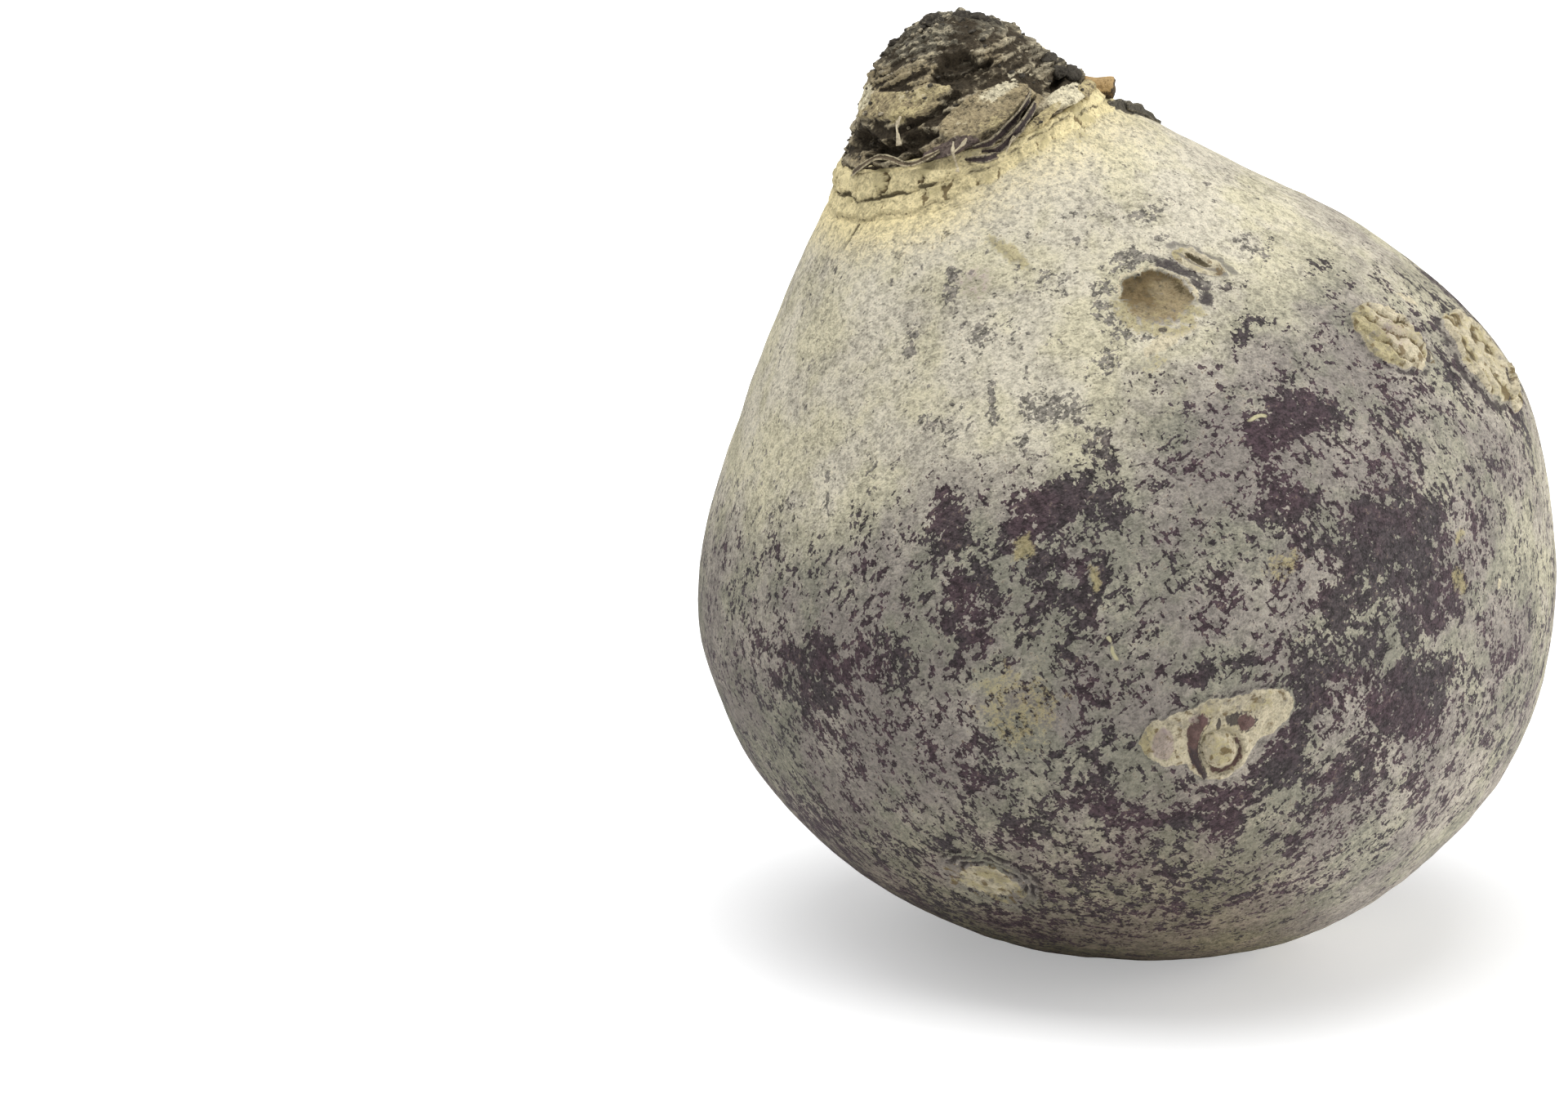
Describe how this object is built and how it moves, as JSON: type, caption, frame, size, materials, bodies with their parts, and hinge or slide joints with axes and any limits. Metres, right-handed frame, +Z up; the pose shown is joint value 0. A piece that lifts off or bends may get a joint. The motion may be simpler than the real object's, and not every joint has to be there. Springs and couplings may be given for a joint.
{
  "type": "beetroot",
  "caption": "Whole storage beetroot: a pear-shaped swollen root with corky skin, bark-covered leaning crown and dry leaf-stalk remains, resting on a small flat spot.",
  "frame": {"origin": "middle of the small flat spot that the root rests on", "axes": "+Z up; +X to the right of a viewer at -Y looking along +Y, so that the crown leans towards -X"},
  "size_m": [0.0952, 0.0955, 0.1057],
  "materials": {
    "corky_skin": "matt, finely corky, rubbed through to dark aubergine in patches",
    "crown_bark": "matt, ragged layered bark of old leaf bases",
    "dry_stalk": "matt, dry and fibrous",
    "withered_leaf": "dull, shrivelled"
  },
  "bodies": {
    "root": {"beetroot": "corky_skin", "leaf_stalk_stub": "dry_stalk", "withered_leaf_scrap": "withered_leaf", "leaf_stalk_remnant": "withered_leaf", "dry_leaf_scale": "dry_stalk"}
  },
  "joints": []
}
